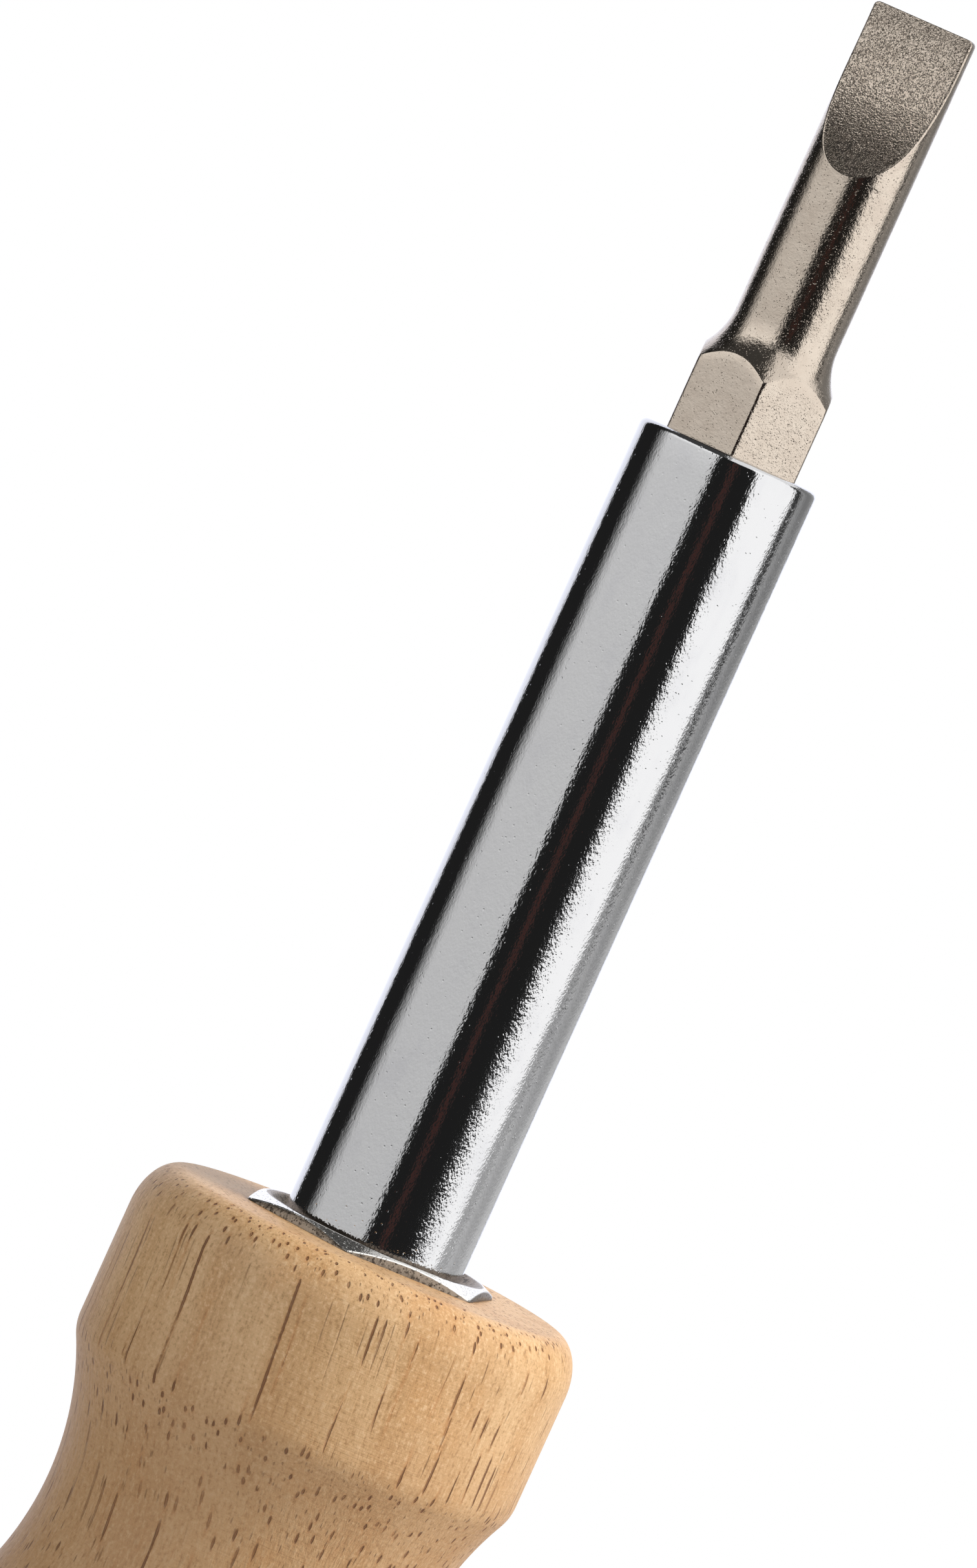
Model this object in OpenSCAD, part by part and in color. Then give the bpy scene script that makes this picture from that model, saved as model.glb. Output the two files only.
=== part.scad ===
// Screwdriver with a turned wooden handle, a hexagonal steel sleeve sunk in its
// head, a plain round barrel and two double-ended hexagon bits, one showing at
// the working end and one hidden in the handle.
// Millimetres. +Z runs along the tool from the butt to the tip, and the origin
// is the centre of the butt's flat.

/* [Wooden handle] */
// Length of the wood from its butt to its flat head face
handle_len = 105; // [100:1:115]
// Radius of the small flat that the butt stands on
butt_flat_r = 8; // [6:0.5:9]
// Radius of the round edge of the butt
butt_round_r = 13; // [11.5:0.5:13]
// Largest radius of the palm swell
swell_r = 15; // [14.5:0.25:16.5]
// Radius of the wood where the butt's round edge begins
lower_r = 13.8; // [13.6:0.1:14.2]
// Radius at the waist, where thumb and finger grip
waist_r = 11.45; // [11:0.05:12]
// Depth of the waist below the head face
waist_depth = 19.2; // [18:0.1:21]
// Radius of the cove that forms the waist
cove_r = 18; // [17:0.1:20]
// Angle at which the cove runs over into the palm swell
cove_end_angle = 18; // [14:1:20]
// Radius of the cylindrical head
head_r = 13.6; // [13.3:0.05:14]
// Radius of the soft round at the head's lower corner
head_corner_r = 3; // [2:0.1:4]
// Radius of the flat face at the top of the head
head_flat_r = 11.6; // [10.5:0.1:12]
// Height of the round shoulder between that face and the head's side
shoulder_h = 3.1; // [2:0.1:4]

/* [Hexagonal sleeve] */
// Width of the sleeve across its flats
sleeve_af = 14; // [13.5:0.5:15]
// Height of the sleeve's end above the wood
sleeve_proud = 0.65; // [0.4:0.05:1.5]
// Angle of the chamfer that rounds the sleeve's six corners
sleeve_chamfer_angle = 25; // [20:1:35]
// Turn of the sleeve's corners about the tool's axis
sleeve_turn = 20.8; // [0:0.1:60]
// Width of the flare that leads the barrel into the sleeve
sleeve_flare = 1.05; // [0.3:0.05:1.15]
// Radial clearance between the sleeve's bore and the barrel
barrel_fit = 0.05; // [0.02:0.01:0.1]
// Length of the barrel that is hidden in the sleeve
barrel_in = 31; // [25:1:36]
// Length of the drive bush pressed in below the barrel
bush_len = 8; // [7:0.5:10]
// Thickness of the retaining ring's wire
ring_wire_d = 0.8; // [0.6:0.1:1]
// Depth of the retaining ring below the sleeve's end
ring_depth = 6; // [4:0.5:12]
// Gap between the two ends of the retaining ring
ring_gap_angle = 50; // [30:5:70]

/* [Barrel] */
// Outside diameter of the barrel
barrel_d = 10.9; // [10.6:0.1:11.2]
// Length of the barrel
barrel_len = 80; // [80:1:86]
// Round on the outer edge of the barrel's two mouths
mouth_round = 0.4; // [0.2:0.05:0.6]
// Clearance between the hexagon bore's flats and the bit's flats
hex_fit = 0.055; // [0.03:0.005:0.1]
// Length of the stop plug in the middle of the barrel
plug_len = 3; // [2:0.5:3]

/* [Bits] */
// Width of the bit's hexagon across its flats
bit_af = 7.94; // [7.9:0.01:8]
// Length of the hexagon, measured along its corners
bit_hex_len = 20; // [18:0.5:22]
// Length of the hexagon's corners that stands out of the barrel
bit_hex_out = 4.4; // [4:0.05:5]
// Distance of each end of the bit from its middle
bit_half = 32.5; // [32:0.25:33]
// Diameter of the bit's round shank
shank_d = 6.3; // [6:0.05:6.5]
// Angle between the tool's axis and the cone that trims the hexagon
neck_angle = 34; // [28:1:40]
// Radius of the hollow between that cone and the shank
neck_r = 4.3; // [3:0.1:5]
// Diameter of the detent ball
ball_d = 2.5; // [2:0.1:2.8]
// How far the ball can be pressed in
ball_travel = 0.35; // [0.2:0.05:0.5]
// Thickness of the detent spring's wire
spring_wire_d = 0.3; // [0.2:0.05:0.4]

/* [Bit ends] */
// Thickness of the large blade at its tip
large_tip = 1.04; // [0.9:0.02:1.2]
// Length of the large blade's ground faces
large_grind = 9.9; // [8:0.1:12]
// Thickness of the small blade at its tip
small_tip = 0.8; // [0.6:0.02:1]
// Width of the small blade
small_width = 4.8; // [4:0.1:5.5]
// Length of the small blade's ground faces
small_grind = 8; // [6:0.5:10]
// Turn of the blades about the tool's axis
blade_turn = -14; // [-90:1:90]
// Distance from the tip over which a blade's faces stay parallel
blade_parallel = 1; // [0.5:0.1:1.5]
// Round on the two corners of a blade's tip
blade_corner = 0.25; // [0.1:0.05:0.4]
// Radius of the blunt end of the large cross point
large_cross_r = 0.85; // [0.7:0.05:1]
// Radius of the blunt end of the small cross point
small_cross_r = 0.6; // [0.5:0.05:0.8]
// Length of a cross point's tapered wings
wing_h = 5.5; // [4:0.1:6]
// Length of a cross point's steeper nose
nose_h = 1.3; // [1:0.1:1.6]
// Angle between the tool's axis and the nose's cone
nose_angle = 32; // [28:1:36]
// Angle at which the roots of the four flutes run out along the shank
flute_lean = 13; // [11:1:16]

/* [Hidden] */
$fn = 72;
eps = 0.01;
arc_steps = 14;

// Heights along the tool
sleeve_top = handle_len + sleeve_proud;
barrel_bottom = sleeve_top - barrel_in;
barrel_top = barrel_bottom + barrel_len;
barrel_middle = barrel_bottom + barrel_len / 2;
bush_bottom = barrel_bottom - bush_len;
bit_above_mouth = bit_half - bit_hex_len / 2 + bit_hex_out;
front_middle = barrel_top + bit_above_mouth - bit_half;
rear_middle = barrel_bottom - bit_above_mouth + bit_half;
rear_tip = rear_middle - bit_half;

// Radii that follow from the driving sizes
barrel_r = barrel_d / 2;
shank_r = shank_d / 2;
sleeve_bore_r = barrel_r + barrel_fit;
sleeve_corner_r = sleeve_af / 2 / cos(30);
sleeve_face_r = 0.985 * sleeve_af / 2;
socket_af = bit_af + 2 * hex_fit;
socket_corner_r = socket_af / 2 / cos(30);
hex_turn = 30;
wood_bore_r = sleeve_af / 2 + 0.1;
tip_bore_r = shank_r + 0.85;
tip_bore_spare = 2;
bush_hex_depth = 6.3;
bush_hole_r = shank_r + 0.5;
ring_groove_r = sleeve_bore_r + ring_wire_d + 0.02;
ring_clear = 0.02;
lead_in = 0.2;
neck_meet_r = shank_r + neck_r * (1 - cos(neck_angle));
bit_corner_r = bit_af / 2 / cos(30);
hex_half = bit_hex_len / 2;
cone_h = (bit_corner_r + lead_in - neck_meet_r) / tan(neck_angle);
neck_foot = hex_half - lead_in / tan(neck_angle);
neck_top = neck_foot + cone_h + neck_r * sin(neck_angle);
ball_r = ball_d / 2;
ball_hole_r = ball_r + 0.05;
ball_x = socket_af / 2 - ball_r - 0.01;
ball_hole_end = -1;
flute_root = 0.55;
step_taper = 1.2;
small_step_len = small_grind + 6;
spring_len = ball_x - ball_r - ball_hole_end;
spring_turns = 4;
spring_r = ball_r - spring_wire_d / 2 - 0.1;
spring_sides = 6;
spring_steps = 14;

// Points on an arc about [cx, cy], from angle a0 to angle a1
function arc(cx, cy, r, a0, a1) =
  [for (i = [0:arc_steps]) let (a = a0 + (a1 - a0) * i / arc_steps)
    [cx + r * cos(a), cy + r * sin(a)]];

// Points on a quarter ellipse, from its side to its top
function ellipse_quarter(cx, cy, rx, ry) =
  [for (i = [0:arc_steps]) let (a = 90 * i / arc_steps)
    [cx + rx * cos(a), cy + ry * sin(a)]];

// Cuts off the first point, where one arc starts on the last point of another
function rest_of(list) = [for (i = [1:len(list) - 1]) list[i]];

// Hexagonal prism of width af across its flats, from height z0 to z1
module hex_prism(af, z0, z1, turn) {
  rotate(turn)
    translate([0, 0, z0])
      cylinder(h = z1 - z0, r = af / 2 / cos(30), $fn = 6);
}

// ---- Wooden handle ----

// Half outline of the turned wood, from the butt's centre up to the head face.
// Five arcs run into each other without a corner: the butt's round edge, the
// long lower arc, the palm swell's shoulder, the cove of the waist and the
// head's lower corner.
function handle_outline() =
  let (
    cove_z = handle_len - waist_depth,
    join_z = cove_z - cove_r * sin(cove_end_angle),
    join_r = waist_r + cove_r * (1 - cos(cove_end_angle)),
    swell_round = (swell_r - join_r) / (1 - cos(cove_end_angle)),
    swell_z = join_z - swell_round * sin(cove_end_angle),
    butt_cx = lower_r - butt_round_r,
    butt_cz = sqrt(pow(butt_round_r, 2) - pow(butt_flat_r - butt_cx, 2)),
    rise = swell_z - butt_cz,
    inset = swell_r - butt_cx,
    lower_round = (pow(rise, 2) + pow(inset, 2) - pow(butt_round_r, 2)) / (2 * (inset - butt_round_r)),
    lower_angle = asin(rise / (lower_round - butt_round_r)),
    corner_cx = head_r - head_corner_r,
    cove_top = acos((waist_r + cove_r - corner_cx) / (cove_r + head_corner_r)),
    corner_z = cove_z + (cove_r + head_corner_r) * sin(cove_top)
  )
  concat(
    [[0, 0]],
    arc(butt_cx, butt_cz, butt_round_r, -asin(butt_cz / butt_round_r), -lower_angle),
    rest_of(arc(swell_r - lower_round, swell_z, lower_round, -lower_angle, 0)),
    rest_of(arc(swell_r - swell_round, swell_z, swell_round, 0, cove_end_angle)),
    rest_of(arc(waist_r + cove_r, cove_z, cove_r, 180 + cove_end_angle, 180 - cove_top)),
    rest_of(arc(corner_cx, corner_z, head_corner_r, -cove_top, 0)),
    ellipse_quarter(head_flat_r, handle_len - shoulder_h, head_r - head_flat_r, shoulder_h),
    [[0, handle_len]]
  );

module wood_handle() {
  color("burlywood")
    difference() {
      rotate_extrude() polygon(handle_outline());
      translate([0, 0, bush_bottom])
        cylinder(h = handle_len, r = wood_bore_r);
      hex_prism(sleeve_af, bush_bottom, handle_len + 1, sleeve_turn);
      translate([0, 0, rear_tip - tip_bore_spare])
        cylinder(h = handle_len, r = tip_bore_r);
    }
}

// ---- Sleeve, bush and ring ----

// Half outline of the round that the sleeve's hexagon is trimmed to
function sleeve_outline() =
  let (
    outer_r = sleeve_corner_r + 1,
    drop = (outer_r - sleeve_face_r) * tan(sleeve_chamfer_angle)
  )
  [
    [0, bush_bottom],
    [outer_r, bush_bottom],
    [outer_r, sleeve_top - drop],
    [sleeve_face_r, sleeve_top],
    [0, sleeve_top]
  ];

module hex_sleeve() {
  color("silver")
    difference() {
      intersection() {
        hex_prism(sleeve_af, bush_bottom, sleeve_top, sleeve_turn);
        rotate_extrude() polygon(sleeve_outline());
      }
      translate([0, 0, bush_bottom - 1])
        cylinder(h = sleeve_top - bush_bottom + 2, r = sleeve_bore_r);
      translate([0, 0, sleeve_top - sleeve_flare])
        cylinder(h = sleeve_flare + eps, r1 = sleeve_bore_r, r2 = sleeve_bore_r + sleeve_flare + eps);
      translate([0, 0, sleeve_top - ring_depth])
        cylinder(h = ring_wire_d + 2 * ring_clear, r = ring_groove_r);
    }
}

module drive_bush() {
  color("dimgray")
    difference() {
      translate([0, 0, bush_bottom])
        cylinder(h = bush_len, r = sleeve_bore_r);
      hex_prism(socket_af, barrel_bottom - bush_hex_depth, barrel_bottom + 1, hex_turn);
      translate([0, 0, bush_bottom - 1])
        cylinder(h = bush_len, r = bush_hole_r);
    }
}

module retaining_ring() {
  wire_r = ring_wire_d / 2;
  color("gray")
    translate([0, 0, sleeve_top - ring_depth + wire_r + ring_clear])
      rotate(90 + ring_gap_angle / 2)
        rotate_extrude(angle = 360 - ring_gap_angle)
          translate([barrel_r + ring_clear + wire_r, 0])
            circle(r = wire_r);
}

// ---- Barrel ----

// Half outline of the barrel's outside, both mouths rounded
function barrel_outline() =
  concat(
    [[0, barrel_bottom]],
    arc(barrel_r - mouth_round, barrel_bottom + mouth_round, mouth_round, -90, 0),
    arc(barrel_r - mouth_round, barrel_top - mouth_round, mouth_round, 0, 90),
    [[0, barrel_top]]
  );

// Cone that opens the hexagon bore's edge at one mouth
module mouth_lead_in() {
  translate([0, 0, -socket_corner_r])
    cylinder(h = socket_corner_r + lead_in, r1 = 0, r2 = socket_corner_r + lead_in);
}

module barrel() {
  color("gainsboro")
    difference() {
      rotate_extrude() polygon(barrel_outline());
      hex_prism(socket_af, barrel_bottom - 1, barrel_top + 1, hex_turn);
      translate([0, 0, barrel_top])
        mouth_lead_in();
      translate([0, 0, barrel_bottom])
        mirror([0, 0, 1])
          mouth_lead_in();
    }
}

module stop_plug() {
  color("slategray")
    hex_prism(socket_af, barrel_middle - plug_len / 2, barrel_middle + plug_len / 2, hex_turn);
}

// ---- Bits ----

// Half outline of a bit about its middle: shank, hollow neck, cone over the
// hexagon, and the same again below
function bit_half_outline() =
  concat(
    [[bit_corner_r + lead_in, neck_foot]],
    arc(shank_r + neck_r, neck_top, neck_r, 180 + neck_angle, 180),
    arc(shank_r - blade_corner, bit_half - blade_corner, blade_corner, 0, 90),
    [[0, bit_half]]
  );

function mirrored(list) =
  [for (i = [len(list) - 1:-1:0]) [list[i][0], -list[i][1]]];

// Two hollow-ground faces: each is a large grinding wheel's cylinder, whose
// surface is parallel to the blade's middle plane near the tip
module blade_grind(tip, length, width) {
  run = length - blade_parallel;
  rise = width / 2 - tip / 2;
  wheel_r = (pow(run, 2) + pow(rise, 2)) / (2 * rise);
  for (side = [-1, 1])
    translate([0, side * (tip / 2 + wheel_r), bit_half - blade_parallel])
      rotate([0, 90, 0])
        cylinder(h = 4 * shank_r, r = wheel_r, center = true);
}

// Takes the shank down to a narrower blade by a turned step
module shank_step(width, length) {
  difference() {
    translate([0, 0, bit_half - length])
      cylinder(h = length + 1, r = shank_r + 1);
    translate([0, 0, bit_half - length - eps])
      cylinder(h = step_taper, r1 = shank_r, r2 = width / 2);
    translate([0, 0, bit_half - length])
      cylinder(h = length + 2, r = width / 2);
  }
}

// What a cross point loses: the outside of a double cone, and four V-shaped
// flutes that run out along the shank
module cross_grind(end_r) {
  wing_r = end_r + nose_h * tan(nose_angle);
  flute_run = 1.2 * shank_r / tan(flute_lean);
  difference() {
    translate([0, 0, bit_half - wing_h - nose_h])
      cylinder(h = wing_h + nose_h + 1, r = shank_r + 1);
    rotate_extrude()
      polygon([
        [0, bit_half - wing_h - nose_h - 1],
        [shank_r, bit_half - wing_h - nose_h - 1],
        [shank_r, bit_half - wing_h - nose_h],
        [wing_r, bit_half - nose_h],
        [end_r, bit_half],
        [0, bit_half]
      ]);
  }
  for (turn = [45:90:315])
    rotate(turn)
      translate([end_r * flute_root, 0, bit_half])
        rotate([0, -flute_lean, 0])
          rotate(-45)
            translate([0, 0, -flute_run])
              cube([shank_r * 2, shank_r * 2, flute_run + 2]);
}

// One double-ended bit about its middle, before its ends are ground
module bit_blank() {
  intersection() {
    rotate_extrude() polygon(concat(bit_half_outline(), mirrored(bit_half_outline())));
    union() {
      hex_prism(bit_af, -neck_top, neck_top, hex_turn);
      translate([0, 0, -bit_half - 1])
        cylinder(h = 2 * bit_half + 2, r = shank_r);
    }
  }
}

// Blind hole for the detent ball and its spring, square to one flat
module ball_hole() {
  translate([ball_hole_end, 0, 0])
    rotate([0, 90, 0])
      cylinder(h = bit_af, r = ball_hole_r);
}

module front_bit() {
  color("lightgray")
    translate([0, 0, front_middle])
      difference() {
        bit_blank();
        rotate(blade_turn) blade_grind(large_tip, large_grind, shank_d);
        mirror([0, 0, 1]) cross_grind(large_cross_r);
        ball_hole();
      }
}

module rear_bit() {
  color("lightgray")
    translate([0, 0, rear_middle])
      mirror([0, 0, 1])
        difference() {
          bit_blank();
          shank_step(small_width, small_step_len);
          rotate(blade_turn) blade_grind(small_tip, small_grind, small_width);
          mirror([0, 0, 1]) cross_grind(small_cross_r);
          ball_hole();
        }
}

module detent_ball(z) {
  color("white")
    translate([ball_x, 0, z])
      sphere(r = ball_r);
}

// Centre line of the detent spring: a helix about the ball hole's axis
function spring_point(t) =
  let (a = 360 * spring_turns * t, run = spring_len - spring_wire_d)
  [ball_hole_end + spring_wire_d / 2 + run * t, spring_r * cos(a), spring_r * sin(a)];

// One ring of wire about the helix at t, in the plane of the hole's axis and
// the helix's own radius
function spring_ring(t) =
  let (p = spring_point(t), a = 360 * spring_turns * t)
  [for (k = [0:spring_sides - 1]) let (b = 360 * k / spring_sides, w = spring_wire_d / 2)
    p + w * [cos(b), sin(b) * cos(a), sin(b) * sin(a)]];

module detent_spring(z) {
  rings = spring_turns * spring_steps;
  points = [for (i = [0:rings]) each spring_ring(i / rings)];
  sides = [for (i = [0:rings - 1]) for (k = [0:spring_sides - 1])
    let (next = (k + 1) % spring_sides)
    [i * spring_sides + k, i * spring_sides + next,
     (i + 1) * spring_sides + next, (i + 1) * spring_sides + k]];
  first_cap = [for (k = [0:spring_sides - 1]) spring_sides - 1 - k];
  last_cap = [for (k = [0:spring_sides - 1]) rings * spring_sides + k];
  color("gray")
    translate([0, 0, z])
      polyhedron(points = points, faces = concat([first_cap], sides, [last_cap]));
}

module front_bit_ball() { detent_ball(front_middle); }

module front_bit_spring() { detent_spring(front_middle); }

module rear_bit_ball() { detent_ball(rear_middle); }

module rear_bit_spring() { detent_spring(rear_middle); }

wood_handle();
hex_sleeve();
drive_bush();
retaining_ring();
barrel();
stop_plug();
front_bit();
front_bit_ball();
front_bit_spring();
rear_bit();
rear_bit_ball();
rear_bit_spring();
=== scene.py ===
# %% [markdown]
# # A wood-handled screwdriver
# The tool is a turned wooden handle with a hexagonal steel sleeve sunk in its head, a plain chromed
# barrel that plugs into the sleeve, and two loose bits. The packed CAD model is the frame: it says
# how large every piece is and how it moves. Everything below is built around it, in metres, with
# +Z from the butt of the handle to the tip of the blade.

# %% Load the frame
import math
import bpy
import numpy as np
from mathutils import Matrix, Vector


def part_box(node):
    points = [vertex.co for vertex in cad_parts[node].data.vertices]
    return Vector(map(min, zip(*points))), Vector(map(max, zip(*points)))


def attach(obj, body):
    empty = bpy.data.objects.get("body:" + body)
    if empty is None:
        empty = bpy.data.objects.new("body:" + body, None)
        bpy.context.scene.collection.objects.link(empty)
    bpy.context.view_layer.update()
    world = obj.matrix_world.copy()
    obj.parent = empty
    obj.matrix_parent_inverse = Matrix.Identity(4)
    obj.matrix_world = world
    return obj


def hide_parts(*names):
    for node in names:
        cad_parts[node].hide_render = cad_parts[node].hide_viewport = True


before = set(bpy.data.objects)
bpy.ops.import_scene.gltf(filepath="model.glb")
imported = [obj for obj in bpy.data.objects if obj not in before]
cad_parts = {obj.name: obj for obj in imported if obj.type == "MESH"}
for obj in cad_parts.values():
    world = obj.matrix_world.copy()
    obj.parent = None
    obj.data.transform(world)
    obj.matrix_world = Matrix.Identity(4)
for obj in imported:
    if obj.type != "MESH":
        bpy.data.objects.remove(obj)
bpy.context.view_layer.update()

# %% [markdown]
# ## The camera
# A long lens from a little over half a metre keeps the tool's sides almost parallel. The camera
# stands level with the barrel's mouth, looks slightly down at the handle, and is rolled so that the
# tool leans to the right. Roll is easiest to get right by writing the camera's three axes directly.

# %% Camera
MM = 0.001
MOUTH_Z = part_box("barrel")[1].z
LENS_MM = 235.7
SENSOR_MM = 36.0
CAMERA_DISTANCE = 0.583
LEAN = math.radians(24.35)
camera_at = np.array([-4.4 * MM, -CAMERA_DISTANCE, MOUTH_Z + 1.5 * MM])
camera_aim = np.array([-4.8 * MM, 0.0, MOUTH_Z - 22.7 * MM])


def unit(vector):
    """A vector divided by its own length."""
    return vector / np.linalg.norm(vector)


def rolled_axes(position, target, roll):
    """The camera's right, up and back axes. The level pair (right, up) is turned by the roll, so that
    the world's up direction leans to the right in the frame by that angle."""
    forward = unit(target - position)
    level_right = unit(np.cross(forward, [0.0, 0.0, 1.0]))
    level_up = np.cross(level_right, forward)
    right = math.cos(roll) * level_right + math.sin(roll) * level_up
    up = math.cos(roll) * level_up - math.sin(roll) * level_right
    return right, up, -forward


camera = bpy.data.objects.new("camera", bpy.data.cameras.new("camera"))
bpy.context.scene.collection.objects.link(camera)
bpy.context.scene.camera = camera
camera.data.lens = LENS_MM
camera.data.sensor_width = SENSOR_MM
camera.data.clip_start = 0.01
axes = np.eye(4)
axes[:3, :3] = np.array(rolled_axes(camera_at, camera_aim, LEAN)).T
axes[:3, 3] = camera_at
camera.matrix_world = Matrix(axes.tolist())
bpy.context.scene.view_settings.view_transform = "Standard"
look_down = math.degrees(math.asin(-unit(camera_aim - camera_at)[2]))
print("camera looks down by %.1f degrees" % look_down)

# %% [markdown]
# ## Shader sums as plain expressions
# Node trees get long and hard to read when every sum is wired by hand. This small class wraps one
# output socket, so that `mask * 0.5 + grain` adds the Math nodes by itself. One method, `node`, adds
# any other kind of node.

# %% A socket that can be used in a sum
class Socket:
    """One output of a shader node. + - * and ** between sockets and numbers add Math nodes."""

    def __init__(self, tree, link):
        self.tree = tree
        self.link = link

    def node(self, kind, settings=None, inputs=None, output=0):
        """Adds a node: its settings first, then the values or links of its sockets."""
        made = self.tree.nodes.new(kind)
        for key, value in (settings or {}).items():
            setattr(made, key, value)
        for key, value in (inputs or {}).items():
            if isinstance(value, Socket):
                self.tree.links.new(value.link, made.inputs[key])
            else:
                made.inputs[key].default_value = value
        return Socket(self.tree, made.outputs[output])

    def math(self, operation, *values):
        """A Math node on this socket and up to two more values."""
        inputs = dict(enumerate((self, *values)))
        return self.node("ShaderNodeMath", {"operation": operation}, inputs)

    def __add__(self, other):
        return self.math("ADD", other)

    __radd__ = __add__

    def __sub__(self, other):
        return self.math("SUBTRACT", other)

    def __rsub__(self, other):
        return (self * -1.0).math("ADD", other)

    def __mul__(self, other):
        return self.math("MULTIPLY", other)

    __rmul__ = __mul__

    def __pow__(self, other):
        return self.math("POWER", other)

    def clamp(self):
        """Held between 0 and 1."""
        return self.node("ShaderNodeClamp", None, {0: self})

    def step(self, low, high):
        """0 below low and 1 above high, with a smooth run between."""
        settings = {"interpolation_type": "SMOOTHSTEP"}
        return self.node("ShaderNodeMapRange", settings, {0: self, 1: low, 2: high})

    def stretch(self, scale, offset=(0.0, 0.0, 0.0)):
        """A vector multiplied by a scale for each axis, after an offset is added."""
        moved = self.node("ShaderNodeVectorMath", {"operation": "ADD"}, {0: self, 1: offset})
        return moved.node("ShaderNodeVectorMath", {"operation": "MULTIPLY"}, {0: moved, 1: scale})

    def noise(self, scale, detail=3.0, roughness=0.55, offset=(0.0, 0.0, 0.0), output=0):
        """Noise of about 0 to 1. Scale is in features a metre for each axis of this vector. Output 1
        is three noises at once, as a vector."""
        where = self.stretch(scale, offset)
        inputs = {"Vector": where, "Scale": 1.0, "Detail": detail, "Roughness": roughness}
        return self.node("ShaderNodeTexNoise", {"noise_dimensions": "3D"}, inputs, output)

    def cells(self, scale, offset=(0.0, 0.0, 0.0)):
        """Voronoi cells: the distance to the nearest of many scattered points. With a scale for two
        axes only, the points are lines that run on along the third."""
        settings = {"feature": "F1", "voronoi_dimensions": "%dD" % len(scale)}
        inputs = {"Vector": self.stretch((*scale, 0.0)[:3], offset), "Scale": 1.0}
        return self.node("ShaderNodeTexVoronoi", settings, inputs)

    def part(self, axis):
        """The X, Y or Z number of a vector."""
        return self.node("ShaderNodeSeparateXYZ", None, {0: self}, axis)


# `mix` blends two colours by a mask. `new_material` gives an empty material and the piece's own
# coordinates. `feed` plugs sockets or plain numbers into the shader. `bump` turns a height map into
# small tilts of the surface, which is far cheaper than modelling thousands of dents and pores.

# %% Material helpers
def mix(first, second, factor):
    """Mixes two colours, each a socket or three numbers."""
    made = factor.tree.nodes.new("ShaderNodeMix")
    made.data_type = "RGBA"
    factor.tree.links.new(factor.link, made.inputs[0])
    for index, colour in ((6, first), (7, second)):
        if isinstance(colour, Socket):
            factor.tree.links.new(colour.link, made.inputs[index])
        else:
            made.inputs[index].default_value = (*colour, 1.0)
    return Socket(factor.tree, made.outputs[2])


def new_material(name):
    """An empty material with its Principled shader: (material, shader, Object coordinates)."""
    material = bpy.data.materials.new(name)
    material.use_nodes = True
    tree = material.node_tree
    shader = tree.nodes["Principled BSDF"]
    place = tree.nodes.new("ShaderNodeTexCoord")
    return material, shader, Socket(tree, place.outputs["Object"])


def feed(shader, **links):
    """Links sockets to a shader's inputs, named with underscores for spaces."""
    for name, value in links.items():
        target = shader.inputs[name.replace("_", " ")]
        if isinstance(value, Socket):
            value.tree.links.new(value.link, target)
        else:
            target.default_value = value


def bump(height, depth):
    """A normal tilted by a height map of 0 to 1 that stands for that depth in millimetres."""
    settings = {"Height": height, "Distance": depth * MM, "Strength": 1.0}
    return height.node("ShaderNodeBump", None, settings)


print("material kit ready: + - * ** and", ", ".join(name for name in vars(Socket) if name[0] != "_"))


# %% [markdown]
# ## Surfaces from numpy
# Every piece of this tool was turned, drawn or ground round one axis, so each is a grid of points:
# rows follow the outline from one end to the other, and columns go once round the axis. Whole arrays
# are worked out at once. Where an edge crosses the grid, as where a cone trims a hexagon, the rows or
# columns are laid along that edge, so it stays crisp.

# %% Grid to mesh
def skin(name, radius, height, angle, poles=True):
    """A mesh from polar grids (rows by columns): x = radius cos(angle), y = radius sin(angle),
    z = height, given in millimetres. With poles, the first and last rows close on a point of the
    axis; without, the last row joins the first, as on a tube."""
    radius, height, angle = np.broadcast_arrays(radius, height, angle)
    rows, columns = radius.shape
    points = np.stack([radius * np.cos(angle), radius * np.sin(angle), height], axis=-1) * MM
    index = np.arange(rows * columns).reshape(rows, columns)
    ring = np.roll(index, -1, axis=1)
    last = rows if not poles else rows - 1
    above = np.roll(index, -1, axis=0)
    ring_above = np.roll(ring, -1, axis=0)
    quads = np.stack([index[:last], ring[:last], ring_above[:last], above[:last]], axis=-1)
    faces = quads.reshape(-1, 4).tolist()
    points = points.reshape(-1, 3)
    if poles:
        ends = np.array([[0.0, 0.0, height[0].mean()], [0.0, 0.0, height[-1].mean()]]) * MM
        low, high = rows * columns, rows * columns + 1
        points = np.concatenate([points, ends])
        faces += np.stack([ring[0], index[0], np.full(columns, low)], axis=-1).tolist()
        faces += np.stack([index[-1], ring[-1], np.full(columns, high)], axis=-1).tolist()
    mesh = bpy.data.meshes.new(name)
    mesh.from_pydata(points.tolist(), [], faces)
    mesh.polygons.foreach_set("use_smooth", np.ones(len(mesh.polygons), dtype=bool))
    mesh.update()
    piece = bpy.data.objects.new(name, mesh)
    bpy.context.scene.collection.objects.link(piece)
    print(name, len(points), "points,", len(faces), "faces")
    return piece


def settle(piece, body, slot, *nodes):
    """The piece rides on a body and stands for CAD nodes, which are hidden. The slot is not used."""
    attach(piece, body)
    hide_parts(*nodes)


# %% [markdown]
# An outline is drawn as a turner would: straight stretches and arcs, one after another, each starting
# where the last one ended. The points stand closer together near sharp edges, where the light needs
# them, and `crowd` does that with a cosine.

# %% Outline helpers
def arc(centre, radius, start, end, count):
    """Points on an arc of a (radius, height) outline, angles in degrees from the radial direction."""
    turn = np.radians(np.linspace(start, end, count))
    return np.stack([centre[0] + radius * np.cos(turn), centre[1] + radius * np.sin(turn)], axis=1)


def line(start, end, count):
    """Points along a straight stretch, its first point left out because the last piece ends on it."""
    return np.linspace(start, end, count + 1)[1:]


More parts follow.
